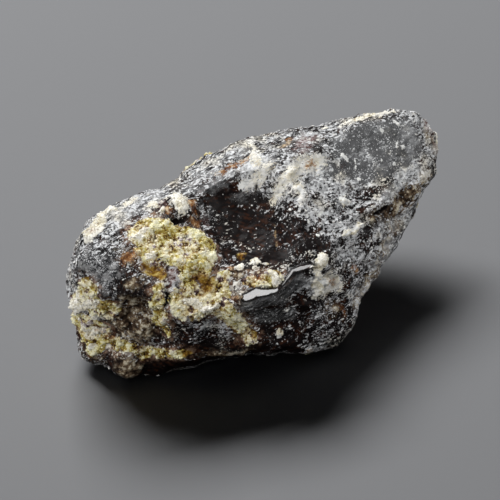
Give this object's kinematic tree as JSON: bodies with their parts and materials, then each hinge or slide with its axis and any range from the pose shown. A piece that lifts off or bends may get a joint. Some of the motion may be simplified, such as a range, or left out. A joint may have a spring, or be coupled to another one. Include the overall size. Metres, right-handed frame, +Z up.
{
  "type": "rough black amber",
  "caption": "One rough, unpolished lump of black amber, 60 mm long, with a crumbly crust, glassy hollows and a flat worn base it rests on.",
  "frame": {"origin": "under the middle of the lump's box, on the surface that it rests on", "axes": "+X along the lump from the blunt end to the raised tip, +Z up"},
  "size_m": [0.0604, 0.0318, 0.0254],
  "materials": {
    "amber": "near-black fossil resin: glassy on fresh breaks, dusted grey-white and crusted cream to olive-yellow elsewhere"
  },
  "bodies": {
    "root": {"amber": "amber"}
  },
  "joints": []
}
